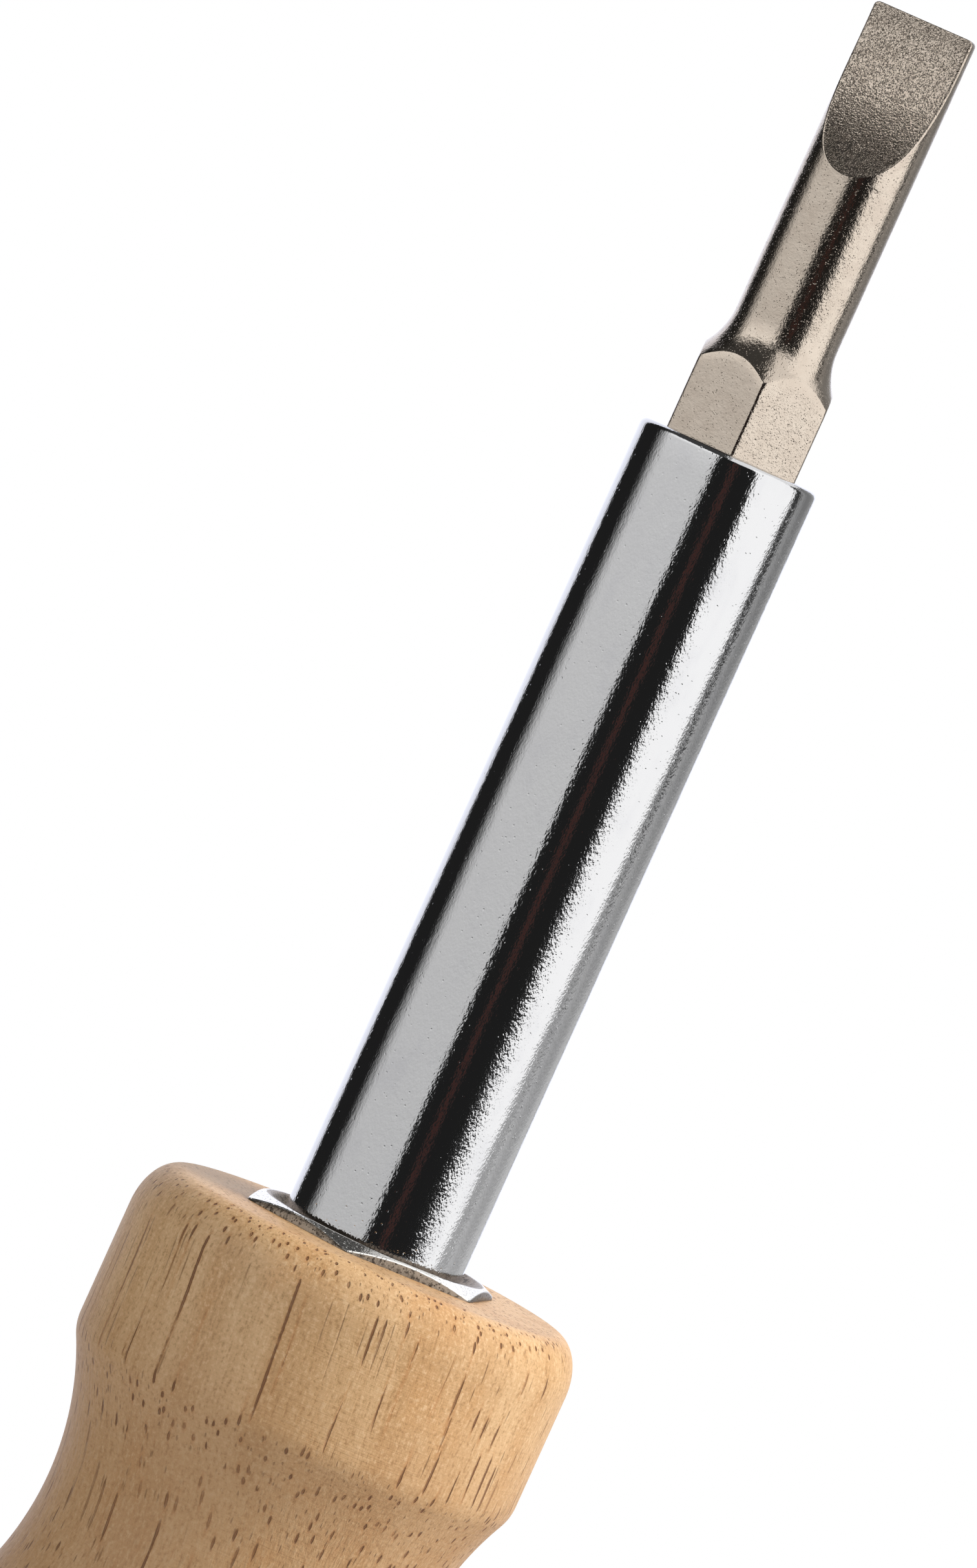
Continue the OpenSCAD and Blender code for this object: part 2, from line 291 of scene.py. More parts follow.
def crowd(count, ends=1.0):
    """Numbers from 0 to 1, crowded towards both ends: (1 - cos(pi u)) / 2, mixed with u itself."""
    even = np.linspace(0.0, 1.0, count)
    return ends * (1.0 - np.cos(math.pi * even)) / 2 + (1.0 - ends) * even


# %% [markdown]
# The sleeve and the bits are hexagon bar. In polar form a hexagon is one short formula, the distance
# to the nearest flat. A real corner is never razor sharp, so the two nearest flats can be joined by a
# soft minimum. It works like `min`, but runs smoothly from one value to the other, and the small
# round that it leaves catches the light as an edge on plated steel does. A bevel modifier would do
# the same job, but it can't follow an edge that fades out, as these do at the scallops.

# %% Hexagons
def soft_min(first, second, blend):
    """The smaller of two lengths, with the corner between them rounded over about that blend:
    -blend * log(exp(-first / blend) + exp(-second / blend)), written so that it can't overflow."""
    low = np.minimum(first, second)
    gap = np.abs(first - second)
    return low - blend * np.log1p(np.exp(-gap / blend))


def hexagon(across_flats, turn, angle, blend=0.0):
    """Distance from the axis to a hexagon's side at an angle: half the width over flats, divided by
    the cosine of the angle to the nearest flat's own direction. A corner lies at the turn. With a
    blend, the two nearest flats are joined by a soft minimum, which rounds the corner."""
    from_flat = np.abs(np.mod(angle - turn, math.pi / 3) - math.pi / 6)
    side = across_flats / 2 / np.cos(from_flat)
    if not blend:
        return side
    next_side = across_flats / 2 / np.cos(math.pi / 3 - from_flat)
    return soft_min(side, next_side, blend)


def once_round(start, columns):
    """One row of evenly spaced angles, once round the axis from a start angle."""
    return start + np.linspace(0, 2 * math.pi, columns, endpoint=False)[None, :]


corner_cut = hexagon(1.0, 0.0, 0.0) - hexagon(1.0, 0.0, 0.0, 0.02)
print("a blend of 0.02 takes %.3f off the corners of a hexagon 1 wide" % corner_cut)


# %% [markdown]
# ## The wooden handle
# It was turned on a lathe: a flat-topped head, a cove for thumb and finger, and a long palm swell.
# Five arcs that run into each other without a corner give the outline, as the turner's gauge would.
# The seat for the sleeve is bored and broached, and a narrower hole below it clears the hidden bit.

# %% Handle sizes
WOOD_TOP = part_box("wood_handle")[1].z / MM
SWELL_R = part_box("wood_handle")[1].x / MM
SLEEVE_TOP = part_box("hex_sleeve")[1].z / MM
SLEEVE_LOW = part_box("hex_sleeve")[0].z / MM
SLEEVE_TURN = math.radians(20.8)
SLEEVE_AF = 14.0
BUTT_FLAT_R = 8.0
BUTT_ROUND_R = 13.0
LOWER_R = 13.8
WAIST_R = 11.45
WAIST_DEPTH = 19.2
WAIST_Z = WOOD_TOP - WAIST_DEPTH
COVE_R = 18.0
COVE_END = 18.0
HEAD_R = 13.6
HEAD_CORNER_R = 3.0
HEAD_FLAT_R = 11.6
SHOULDER_H = 3.1
TIP_BORE_R = 4.0
TIP_BORE_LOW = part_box("rear_bit")[0].z / MM - 2.0
BORE_CENTRE_R = 0.5
print("handle %.1f mm long, %.1f mm wide at the swell" % (WOOD_TOP, 2 * SWELL_R))

# %% [markdown]
# The arcs meet without a corner when their centres lie on one line with the point where they join.
# So only the radii and the waist's place are chosen, and every centre and end angle follows from
# them by a little trigonometry.

# %% Handle outline
def handle_outline():
    """(radius, height) from the edge of the butt's flat to the edge of the head's flat: butt round,
    long lower arc, swell, cove, head corner, head side and an elliptical shoulder."""
    end = math.radians(COVE_END)
    join_r = WAIST_R + COVE_R * (1 - math.cos(end))
    swell_round = (SWELL_R - join_r) / (1 - math.cos(end))
    swell_z = WAIST_Z - (COVE_R + swell_round) * math.sin(end)
    butt_x = LOWER_R - BUTT_ROUND_R
    butt_z = math.sqrt(BUTT_ROUND_R ** 2 - (BUTT_FLAT_R - butt_x) ** 2)
    rise, inset = swell_z - butt_z, SWELL_R - butt_x
    lower_round = (rise ** 2 + inset ** 2 - BUTT_ROUND_R ** 2) / (2 * (inset - BUTT_ROUND_R))
    lower_end = math.degrees(math.asin(rise / (lower_round - BUTT_ROUND_R)))
    butt_start = math.degrees(math.asin(butt_z / BUTT_ROUND_R))
    corner_x = HEAD_R - HEAD_CORNER_R
    cove_top = math.degrees(math.acos((WAIST_R + COVE_R - corner_x) / (COVE_R + HEAD_CORNER_R)))
    corner_z = WAIST_Z + (COVE_R + HEAD_CORNER_R) * math.sin(math.radians(cove_top))
    side_top = WOOD_TOP - SHOULDER_H
    quarter = np.radians(np.linspace(0, 90, 22))
    shoulder = np.stack([HEAD_FLAT_R + (HEAD_R - HEAD_FLAT_R) * np.cos(quarter),
                         side_top + SHOULDER_H * np.sin(quarter)], axis=1)
    return np.concatenate([
        arc((butt_x, butt_z), BUTT_ROUND_R, -butt_start, -lower_end, 24),
        arc((SWELL_R - lower_round, swell_z), lower_round, -lower_end, 0, 60)[1:],
        arc((SWELL_R - swell_round, swell_z), swell_round, 0, COVE_END, 30)[1:],
        arc((WAIST_R + COVE_R, WAIST_Z), COVE_R, 180 + COVE_END, 180 - cove_top, 44)[1:],
        arc((corner_x, corner_z), HEAD_CORNER_R, -cove_top, 0, 12)[1:],
        line((HEAD_R, corner_z), (HEAD_R, side_top), 14),
        shoulder[1:],
    ])


handle_points = handle_outline()
print("handle outline:", len(handle_points), "points")

# %% [markdown]
# One skin covers the whole handle. Its rows run from the middle of the butt up the outside, over the
# head's face, down the six walls of the sleeve's seat and on down the narrow hole. The wood's inside
# shows when the tool is pulled apart, so the seat and the hole are real.

# %% Handle surface
def turned_rows(outline, angle):
    """The outline carried round the axis: its radius and height repeated for every column."""
    ones = np.ones_like(angle)
    return outline[:, :1] * ones, outline[:, 1:] * ones


HANDLE_COLUMNS = 240
around = once_round(SLEEVE_TURN, HANDLE_COLUMNS)
outside_r, outside_z = turned_rows(handle_points, around)
butt_r, butt_z = turned_rows(line((0.0, 0.0), (BUTT_FLAT_R, 0.0), 7)[:-1], around)
seat = hexagon(SLEEVE_AF, SLEEVE_TURN, around)
face_run = crowd(9)[1:, None]
face_r = HEAD_FLAT_R + (seat - HEAD_FLAT_R) * face_run
face_z = np.full_like(face_r, WOOD_TOP)
seat_z = np.linspace(WOOD_TOP, SLEEVE_LOW, 24)[1:, None] * np.ones_like(around)
seat_r = seat * np.ones_like(seat_z)
bore = np.concatenate([line((SLEEVE_AF / 2, SLEEVE_LOW), (TIP_BORE_R, SLEEVE_LOW), 2),
                       line((TIP_BORE_R, SLEEVE_LOW), (TIP_BORE_R, TIP_BORE_LOW), 12),
                       line((TIP_BORE_R, TIP_BORE_LOW), (BORE_CENTRE_R, TIP_BORE_LOW), 3)])
bore_r, bore_z = turned_rows(bore, around)
handle = skin("turned_handle",
              np.concatenate([butt_r, outside_r, face_r, seat_r, bore_r]),
              np.concatenate([butt_z, outside_z, face_z, seat_z, bore_z]), around)
settle(handle, "handle", "turned_wood", "wood_handle")

# %% [markdown]
# ## The hexagonal sleeve
# A length of hexagon bar, bored for the barrel. Its end was chamfered on a lathe like a nut, which
# leaves a scallop on each side: the row that follows the scallop is the height where the cone's
# radius equals the hexagon's.

# %% Sleeve
SLEEVE_FACE_R = 0.985 * SLEEVE_AF / 2
SLEEVE_CHAMFER = math.tan(math.radians(25))
SLEEVE_BORE_R = 5.5
SLEEVE_FLARE = 1.05
HEX_SOFT = 0.08
RING_TOP = SLEEVE_TOP - 5.16
RING_LOW = SLEEVE_TOP - 6.0
RING_R = 6.32


def sleeve_grids(angle):
    """Rows up the outside, over the scalloped chamfer, across the face and down the grooved bore."""
    ones = np.ones_like(angle)
    side = hexagon(SLEEVE_AF, SLEEVE_TURN, angle, HEX_SOFT)
    scallop = SLEEVE_TOP - np.maximum(side - SLEEVE_FACE_R, 0.0) * SLEEVE_CHAMFER
    up = crowd(12)[:, None]
    outer_z = SLEEVE_LOW + (scallop - SLEEVE_LOW) * up
    outer_r = side * np.ones_like(outer_z)
    over = crowd(9)[1:, None]
    cone_r = side + (np.minimum(SLEEVE_FACE_R, side) - side) * over
    cone_z = SLEEVE_TOP - np.maximum(cone_r - SLEEVE_FACE_R, 0.0) * SLEEVE_CHAMFER
    face_end = SLEEVE_BORE_R + SLEEVE_FLARE
    inside = np.concatenate([
        line((SLEEVE_FACE_R, SLEEVE_TOP), (face_end, SLEEVE_TOP), 4),
        line((face_end, SLEEVE_TOP), (SLEEVE_BORE_R, SLEEVE_TOP - SLEEVE_FLARE), 6),
        line((SLEEVE_BORE_R, SLEEVE_TOP - SLEEVE_FLARE), (SLEEVE_BORE_R, RING_TOP), 5),
        line((SLEEVE_BORE_R, RING_TOP), (RING_R, RING_TOP), 2),
        line((RING_R, RING_TOP), (RING_R, RING_LOW), 2),
        line((RING_R, RING_LOW), (SLEEVE_BORE_R, RING_LOW), 2),
        line((SLEEVE_BORE_R, RING_LOW), (SLEEVE_BORE_R, SLEEVE_LOW), 12),
    ])
    return (np.concatenate([outer_r, cone_r, inside[:, :1] * ones]),
            np.concatenate([outer_z, cone_z, inside[:, 1:] * ones]))


SLEEVE_COLUMNS = 288
sleeve_around = once_round(SLEEVE_TURN, SLEEVE_COLUMNS)
sleeve_r, sleeve_z = sleeve_grids(sleeve_around)
sleeve = skin("sleeve", sleeve_r, sleeve_z, sleeve_around, poles=False)
settle(sleeve, "handle", "sleeve_nickel", "hex_sleeve")

# %% [markdown]
# ## The barrel
# A smooth round tube with a hexagon bore from end to end. Both mouths have a small round outside and
# a short lead-in inside, and the ring between them is thinnest at the six corners.

# %% Barrel
BARREL_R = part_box("barrel")[1].x / MM
BARREL_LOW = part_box("barrel")[0].z / MM
BARREL_TOP = MOUTH_Z / MM
BIT_TURN = math.radians(30)
SOCKET_AF = 8.05
BORE_ROW_DEPTH = 1.0
LEAD_IN = 0.2
MOUTH_ROUND = 0.4


def barrel_grids(angle):
    """Rows up the outside between two quarter rounds, across the lip to the lead-in, down the bore."""
    ones = np.ones_like(angle)
    outer = np.concatenate([
        arc((BARREL_R - MOUTH_ROUND, BARREL_LOW + MOUTH_ROUND), MOUTH_ROUND, -90, 0, 9),
        line((BARREL_R, BARREL_LOW + MOUTH_ROUND), (BARREL_R, BARREL_TOP - MOUTH_ROUND), 60)[:-1],
        arc((BARREL_R - MOUTH_ROUND, BARREL_TOP - MOUTH_ROUND), MOUTH_ROUND, 0, 90, 9),
    ])
    bore_side = hexagon(SOCKET_AF, BIT_TURN, angle)
    lip = np.minimum(bore_side + LEAD_IN, BARREL_R - MOUTH_ROUND)
    top_r = np.concatenate([lip, bore_side, bore_side])
    drop = lip - bore_side
    top_z = BARREL_TOP - np.concatenate([0.0 * ones, drop, BORE_ROW_DEPTH * ones])
    low_r = top_r[::-1]
    low_z = BARREL_LOW + BARREL_TOP - top_z[::-1]
    return (np.concatenate([outer[:, :1] * ones, top_r, low_r]),
            np.concatenate([outer[:, 1:] * ones, top_z, low_z]))


BARREL_COLUMNS = 240
barrel_around = once_round(BIT_TURN, BARREL_COLUMNS)
barrel_r, barrel_z = barrel_grids(barrel_around)
barrel = skin("chromed_barrel", barrel_r, barrel_z, barrel_around, poles=False)
settle(barrel, "barrel", "barrel_chrome", "barrel")

# %% [markdown]
# ## The bits
# Each bit is a hexagon in the middle and a round shank at both ends, one ground to a flat blade and
# one to a cross point. Seen from the axis, every cross-section is the smallest of a few simple limits:
# the round profile, the hexagon's flats, the blade's two hollow faces or the four flutes. The columns
# are led along the edges where one limit hands over to the next, and a soft minimum rounds each edge
# a little, as blasting and plating do.

# %% Bit sizes and profile
BIT_HALF = (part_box("front_bit")[1].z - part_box("front_bit")[0].z) / MM / 2
BIT_AF = 7.94
HEX_HALF = 10.0
SHANK_R = 3.15
NECK_ANGLE = math.radians(34)
NECK_R = 4.3
CORNER_R = BIT_AF / 2 / math.cos(math.pi / 6)
NECK_MEET_R = SHANK_R + NECK_R * (1 - math.cos(NECK_ANGLE))
CONE_TOP = HEX_HALF + (CORNER_R - NECK_MEET_R) / math.tan(NECK_ANGLE)
NECK_TOP = CONE_TOP + NECK_R * math.sin(NECK_ANGLE)
EDGE_SOFT = 0.035
SECTORS = 12
SECTOR_COLUMNS = 20
EDGE_CROWD = 0.6
HEX_EDGES = math.pi + np.radians(360.0 / SECTORS) * np.arange(SECTORS)
print("bits %.1f mm long, %d columns round each" % (2 * BIT_HALF, SECTORS * SECTOR_COLUMNS))


def neck_profile(height):
    """The neck's radius: a cone over the hexagon's corners, then a hollow arc down to the shank."""
    cone = CORNER_R - (height - HEX_HALF) * math.tan(NECK_ANGLE)
    drop = np.clip(NECK_TOP - height, 0.0, NECK_R)
    hollow = SHANK_R + NECK_R - np.sqrt(NECK_R ** 2 - drop ** 2)
    return np.where(height < CONE_TOP, cone, hollow)


def columns_from(edges):
    """Angles for every column, from the twelve edge angles of each row: the columns between two
    edges are crowded towards both of them."""
    following = np.concatenate([edges[:, 1:], edges[:, :1] + 2 * math.pi], axis=1)
    share = crowd(SECTOR_COLUMNS + 1, EDGE_CROWD)[:-1]
    return (edges[:, :, None] + (following - edges)[:, :, None] * share).reshape(len(edges), -1)


# %% [markdown]
# The neck was turned with a cone-and-round tool, which cuts a scallop into each of the six flats. The
# scallop's height at any angle is where the cone's radius equals the flat's distance, so one row of
# the grid is laid exactly there. A boolean cut would leave slivers at that edge, and its shading
# would show them.

# %% Hexagon and necks
BODY_CROWD = 0.6
NECK_CROWD = 1.4


def hexagon_block():
    """The middle of a bit, from one shank to the other. Both scallops are rows of the grid, and the
    two powers crowd the other rows towards them."""
    angle = columns_from(np.tile(HEX_EDGES, (1, 1)))
    side = hexagon(BIT_AF, BIT_TURN, angle, HEX_SOFT)
    scallop = HEX_HALF + (CORNER_R - side) / math.tan(NECK_ANGLE)
    body = scallop * np.linspace(0.0, 1.0, 14)[:, None] ** BODY_CROWD
    neck = scallop + (NECK_TOP - scallop) * np.linspace(0.0, 1.0, 36)[1:, None] ** NECK_CROWD
    upper = np.concatenate([body, neck])
    radius = soft_min(side, neck_profile(upper), EDGE_SOFT)
    height = np.concatenate([-upper[::-1], upper[1:]])
    return np.concatenate([radius[::-1], radius[1:]]), height, np.tile(angle, (len(height), 1))


# %% [markdown]
# The blade is hollow ground: each face was pressed against the round of a grinding wheel, so it
# curves in towards the shank, and where it runs out the outline is a long tongue. Its two narrow
# sides are what is left of the round shank. Each of those four edges gets a round of its own, with
# a column at its start and its end, because that thin line of light is what the eye looks for.

# %% Blade edges
FACE_TURN = math.radians(14)
BLADE_FACE = math.radians(270) - FACE_TURN
BLADE_PARALLEL = 1.0
BLADE_ROUND = 0.2
TIP_ROUND = 0.08
TIP_CORNER = 0.3
LEAST_COSINE = 1e-4


def blade_corner(half, radius):
    """The round where a face meets a narrow side: a small circle that touches the face's plane and
    the shank's circle from inside. Gives its centre along and above the face, and the angles at
    which the flat ends and the narrow side starts."""
    above = half - BLADE_ROUND
    along = np.sqrt(np.maximum((radius - BLADE_ROUND) ** 2 - above ** 2, 0.0))
    return along, above, np.arctan2(along, half), np.arctan2(along, above)


def blade_edges(flat_end, side_start):
    """Twelve edge angles of each row: the middle of a narrow side, the round, the flat's near end,
    its middle, its far end and the end of the round beyond it; then the same on the other side."""
    zero = np.zeros_like(flat_end)
    side = [zero - math.pi / 2, -side_start, -flat_end, zero, flat_end, side_start]
    return BLADE_FACE + np.stack(side + [edge + math.pi for edge in side], axis=1)


def blade_section(half, radius, angle):
    """Distance from the axis to the blade's surface at an angle: half the thickness divided by the
    cosine on the flat, the far side of the small circle on the round, the radius on the side."""
    along, above, flat_end, side_start = blade_corner(half, radius)
    turn = np.abs(np.mod(angle - BLADE_FACE + math.pi / 2, math.pi) - math.pi / 2)
    towards = along * np.sin(turn) + above * np.cos(turn)
    spare = BLADE_ROUND ** 2 - (radius - BLADE_ROUND) ** 2 + towards ** 2
    rounded = towards + np.sqrt(np.maximum(spare, 0.0))
    flat = half / np.maximum(np.cos(turn), LEAST_COSINE)
    outer = np.where(turn < side_start, rounded, radius * np.ones_like(turn))
    return np.where(turn < flat_end, flat, outer)


sample = [float(edge[0]) for edge in blade_corner(np.array([1.0]), np.array([SHANK_R]))[2:]]
print("2 mm thick, a face ends at %.0f and a side starts at %.0f degrees" % tuple(np.degrees(sample)))

# %% [markdown]
# Every row of the blade is one cross-section. Below the parallel stretch the half thickness follows
# the wheel's circle. The rows aren't evenly spaced in height but by the angle at which the face
# meets the side, which packs them where the tongue's outline turns.

# %% Blade
def quarter_round(below_tip, size):
    """How far a round of that size has drawn a surface in, at a depth below the tip."""
    rise = np.clip(size - below_tip, 0.0, size)
    return size - np.sqrt(size ** 2 - rise ** 2)


def blade_block(tip, width, grind):
    """A hollow-ground blade, from where the grinding starts up to its tip. Near the tip the faces are
    parallel; below, each is an arc of the grinding wheel. Rows are spaced by the angle at which the
    faces meet the round sides, so the outline of each face is a smooth curve. At the tip the two
    faces are rounded a little and the two narrow sides more."""
    radius = width / 2
    run, rise = grind - BLADE_PARALLEL, radius - tip / 2
    wheel = (run ** 2 + rise ** 2) / (2 * rise)
    parallel_z = BIT_HALF - BLADE_PARALLEL
    spread = np.linspace(0.0, math.acos(tip / 2 / radius), 64)
    half = radius * np.cos(spread)
    hollow_z = parallel_z - np.sqrt(np.maximum(wheel ** 2 - (wheel + tip / 2 - half) ** 2, 0.0))
    turn = np.radians(np.linspace(0, 90, 12))
    end_z = np.concatenate([np.linspace(parallel_z, BIT_HALF - TIP_CORNER, 5)[1:-1],
                            BIT_HALF - TIP_CORNER * (1 - np.sin(turn))])
    end_half = tip / 2 + wheel - np.sqrt(wheel ** 2 - (end_z - parallel_z) ** 2)
    end_half = end_half - quarter_round(BIT_HALF - end_z, TIP_ROUND)
    end_r = radius - quarter_round(BIT_HALF - end_z, TIP_CORNER)
    half = np.concatenate([half, end_half])
    sides = np.concatenate([np.full(len(hollow_z), radius), end_r])
    height = np.concatenate([hollow_z, end_z])
    angle = columns_from(blade_edges(*blade_corner(half, sides)[2:]))
    section = blade_section(half[:, None], sides[:, None], angle)
    cap = 1.0 - crowd(7)[1:-1, None]
    rows = np.concatenate([section, section[-1:] * cap])
    heights = np.concatenate([height, np.full(len(cap), BIT_HALF)])[:, None] * np.ones_like(rows)
    return rows, heights, np.concatenate([angle, np.tile(angle[-1:], (len(cap), 1))])


# %% [markdown]
# The other end of each bit is a cross point. It is two stacked cones with four V-shaped flutes
# milled in. Seen end on, a flute's walls are straight lines at right angles, so their distance from
# the axis is again one over a sine. The sunken root leans outwards, so the flute fades out along
# the shank as the cutter leaves the steel.

# %% Cross point
WING_H = 5.5
NOSE_H = 1.3
NOSE_SLOPE = math.tan(math.radians(32))
FLUTE_LEAN = math.tan(math.radians(13))
FLUTE_ROOT = 0.55
FLUTE_TURN = math.radians(225)
LEAST_SINE = 1e-3
FRONT_CROSS_R = 0.85
REAR_CROSS_R = 0.6


def cross_block(end_r):
    """A cross point, from the plain shank up to its blunt end: a double cone with four V flutes. A
    flute's root leans away from the axis, so it runs out along the shank."""
    wing_r = end_r + NOSE_H * NOSE_SLOPE
    root_at_tip = FLUTE_ROOT * end_r
    run_out = (SHANK_R - root_at_tip) / FLUTE_LEAN
    height = BIT_HALF - run_out * (1.0 - crowd(60, EDGE_CROWD))
    cone_z = [BIT_HALF - WING_H - NOSE_H, BIT_HALF - NOSE_H, BIT_HALF]
    profile = np.interp(height, cone_z, [SHANK_R, wing_r, end_r])
    root = root_at_tip + (BIT_HALF - height) * FLUTE_LEAN
    diagonal = math.sin(math.pi / 4)
    reach = np.arcsin(np.clip(root * diagonal / profile, 0.0, diagonal))
    spread = math.pi / 4 - reach
    roots = FLUTE_TURN + np.radians(90.0) * np.arange(4)
    edges = roots[None, :, None] + spread[:, None, None] * np.array([-1.0, 0.0, 1.0])
    angle = columns_from(edges.reshape(len(height), -1))
    from_root = np.abs(np.mod(angle - FLUTE_TURN + math.pi / 4, math.pi / 2) - math.pi / 4)
    wall = root[:, None] * diagonal / np.sin(np.maximum(math.pi / 4 - from_root, LEAST_SINE))
    section = soft_min(np.minimum(wall, 4 * SHANK_R), profile[:, None], EDGE_SOFT)
    cap = 1.0 - crowd(6)[1:-1, None]
    rows = np.concatenate([section, section[-1:] * cap])
    heights = np.concatenate([height, np.full(len(cap), BIT_HALF)])[:, None] * np.ones_like(rows)
    return rows, heights, np.concatenate([angle, np.tile(angle[-1:], (len(cap), 1))])


flute_len = (SHANK_R - FLUTE_ROOT * FRONT_CROSS_R) / FLUTE_LEAN
print("the front bit's flutes run out over %.1f mm" % flute_len)

# %% [markdown]
# A bit is now a stack of blocks: cross point, shank, hexagon with its necks, shank, blade. All blocks
# have the same number of columns, so they can be joined row under row. Along the shank the columns
# swing over from one block's angles to the next one's. It is the same trick as lofting between two
# sections, and on a round shank it leaves no mark.

# %% Whole bits
STEP_RUN = 1.2


def shank_rows(low, high, count=28):
    """Plain round rows between two blocks: the columns swing over from one block's angles to the
    other's, which doesn't change the shape, because the shank is round."""
    share = np.linspace(0.0, 1.0, count + 2)[1:-1, None]
    height = low[1][-1:] + (high[1][:1] - low[1][-1:]) * share
    angle = low[2][-1:] + (high[2][:1] - low[2][-1:]) * share
    radius = low[0][-1:] + (high[0][:1] - low[0][-1:]) * share
    return radius, height, angle


def upside_down(block):
    """A block turned end for end by a mirror across its middle, rows in reverse order."""
    return block[0][::-1], -block[1][::-1], block[2][::-1]


def stack(*blocks):
    """Blocks joined row under row into three grids."""
    return [np.concatenate(grids) for grids in zip(*blocks)]


def bit_grids(tip, width, grind, cross_r, step_len):
    """A double-ended bit about its middle: cross point below, blade above. A narrow blade's shank is
    turned down over the last stretch, step_len long."""
    cross = upside_down(cross_block(cross_r))
    middle = hexagon_block()
    blade = blade_block(tip, width, grind)
    if step_len:
        step_z = np.array([BIT_HALF - step_len, BIT_HALF - step_len + STEP_RUN])[:, None]
        step_r = np.array([SHANK_R, width / 2])[:, None]
        ones = np.ones_like(middle[2][-1:])
        step = (step_r * ones, step_z * ones, np.repeat(middle[2][-1:], 2, axis=0))
        middle = stack(middle, step)
    return stack(cross, shank_rows(cross, middle), middle, shank_rows(middle, blade), blade)


def make_bit(name, node, grids, flip):
    """Puts a bit's grids where its CAD node stands; flip turns it end for end."""
    low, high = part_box(node)
    middle = (low.z + high.z) / MM / 2
    radius, height, angle = upside_down(grids) if flip else grids
    piece = skin(name, radius, middle + height, angle)
    settle(piece, node, "satin_bit", node)
    return piece


front_grids = bit_grids(tip=1.04, width=2 * SHANK_R, grind=9.9, cross_r=FRONT_CROSS_R, step_len=0)
rear_grids = bit_grids(tip=0.8, width=4.8, grind=8.0, cross_r=REAR_CROSS_R, step_len=14.0)
front = make_bit("front_bit_ground", "front_bit", front_grids, False)
rear = make_bit("rear_bit_ground", "rear_bit", rear_grids, True)

# %% [markdown]
# ## Materials
# Each finish is a function of Object coordinates, so it is cut from the solid and doesn't slide, and
# no piece needs its surface unwrapped. Scales are in features a metre: 5000 is a fifth of a
# millimetre.
#
# The chrome comes first. A metal with no roughness would do for a mirror, but it looks drawn, not
# made. Plate follows the ground steel under it, so three noises of different sizes tilt the surface
# by a very small amount. They are drawn out along the barrel, the way it was ground, and they fray
# the edges of every reflection.

# %% Chrome
def chrome():
    """Bright chrome plate over ground steel."""
    material, shader, place = new_material("bright_chrome")
    fray = place.noise((9500.0, 9500.0, 6000.0), 1.0, 0.5)
    grain = place.noise((4600.0, 4600.0, 2300.0), 2.0, 0.5)
    wave = place.noise((420.0, 420.0, 200.0), 2.0)
    dimples = place.cells((1900.0, 1900.0, 1900.0)).step(0.15, 0.05)
    haze = place.noise((600.0, 600.0, 260.0), 3.0).step(0.45, 0.75)
    height = fray * 0.6 + grain * 0.9 + wave * 1.8 - dimples * 0.6
    feed(shader, Base_Color=mix((0.545, 0.545, 0.55), (0.52, 0.52, 0.53), haze), Metallic=1.0,
         Roughness=haze * 0.03 + 0.065, Normal=bump(height, 0.009))
    return material


bright_chrome = chrome()
print("bright chrome:", len(bright_chrome.node_tree.nodes), "nodes")

# %% [markdown]
# The bits are blasted and nickel plated. Fine grit leaves craters of many sizes, which one noise can't
# give, so round cells make the craters, a winding noise spoils their roundness, and a third noise
# thins them out in patches. A second idea does the ground faces: the line along which a noise
# passes its middle value is a squiggle, just like the tracks that coarse grit leaves.

# %% Satin bit
def satin_bit():
    """Steel blasted with fine grit and then nickel plated. The plating shines, and the blasting left
    small craters in it, so in a bright reflection each crater shows a dark speck and in a dark one a
    spark. The ground faces of the blades, near both ends, were hit harder: there the craters join
    into squiggles, which are the lines along which a noise passes its middle value."""
    material, shader, place = new_material("blasted_nickel")
    hills = place.noise((8600.0, 8600.0, 8600.0), 1.0, 0.5)
    swells = place.noise((3400.0, 3400.0, 3400.0), 1.0, 0.5)
    winding = place.noise((8200.0, 8200.0, 8200.0), 1.0, 0.5, (0.3, 0.1, 0.2))
    apart = place.noise((3300.0, 3300.0, 3300.0), 1.0, 0.5, (0.1, 0.3, 0.1))
    x, y = (place.part(axis) for axis in range(2))
    across = (x ** 2.0 + y ** 2.0) ** 0.5
    ground = across.step((SHANK_R - 0.01) * MM, (SHANK_R - 0.10) * MM)
    craters = (place.cells((7600.0, 7600.0, 7600.0)) + (winding - 0.5) * 0.6).step(0.34, 0.04)
    craters = craters * apart.step(0.42, 0.60).math("MAXIMUM", ground * 0.8)
    lines = (winding - 0.5).math("ABSOLUTE").step(0.045, 0.006) * apart.step(0.62, 0.52)
    dents = craters + lines * (ground * 0.9 + 0.1)
    tint = place.noise((900.0, 900.0, 900.0), 3.0, 0.6).step(0.35, 0.7)
    metal = mix((0.515, 0.448, 0.378), (0.475, 0.408, 0.342), tint)
    shape = hills * (ground * 1.25 + 0.45) + swells * 0.7 - dents * (ground * 2.2 + 0.6)
    # The craters and squiggles are also darkened in colour, strongest on the ground faces: painted
    # shade in the dents, on top of what the bumps reflect.
    colour = mix(metal, (0.15, 0.115, 0.09), dents * (ground * 0.30 + 0.24))
    feed(shader, Base_Color=colour, Metallic=1.0,
         Roughness=swells * 0.08 + 0.09 + dents * 0.1, Normal=bump(shape, 0.018))
    return material


blasted_nickel = satin_bit()
print("blasted nickel:", len(blasted_nickel.node_tree.nodes), "nodes")

# %% [markdown]
# Wood is a bundle of tubes, and that is how it is built here. Voronoi cells with a scale for X and Y
# only are scattered lines that run on along the grain, so one pattern gives long streaks where the
# turned surface follows the grain, dashes where it crosses it and dots on the end. A stretched
# noise gives streaks too, but soft ones without an end. The tubes are bent a little by a slow noise,
# because no tree grows straight, and lie at a small angle to the tool, because no blank is cut true.

# %% Turned wood
GRAIN_LEAN = (0.03, 0.075, 0.0)


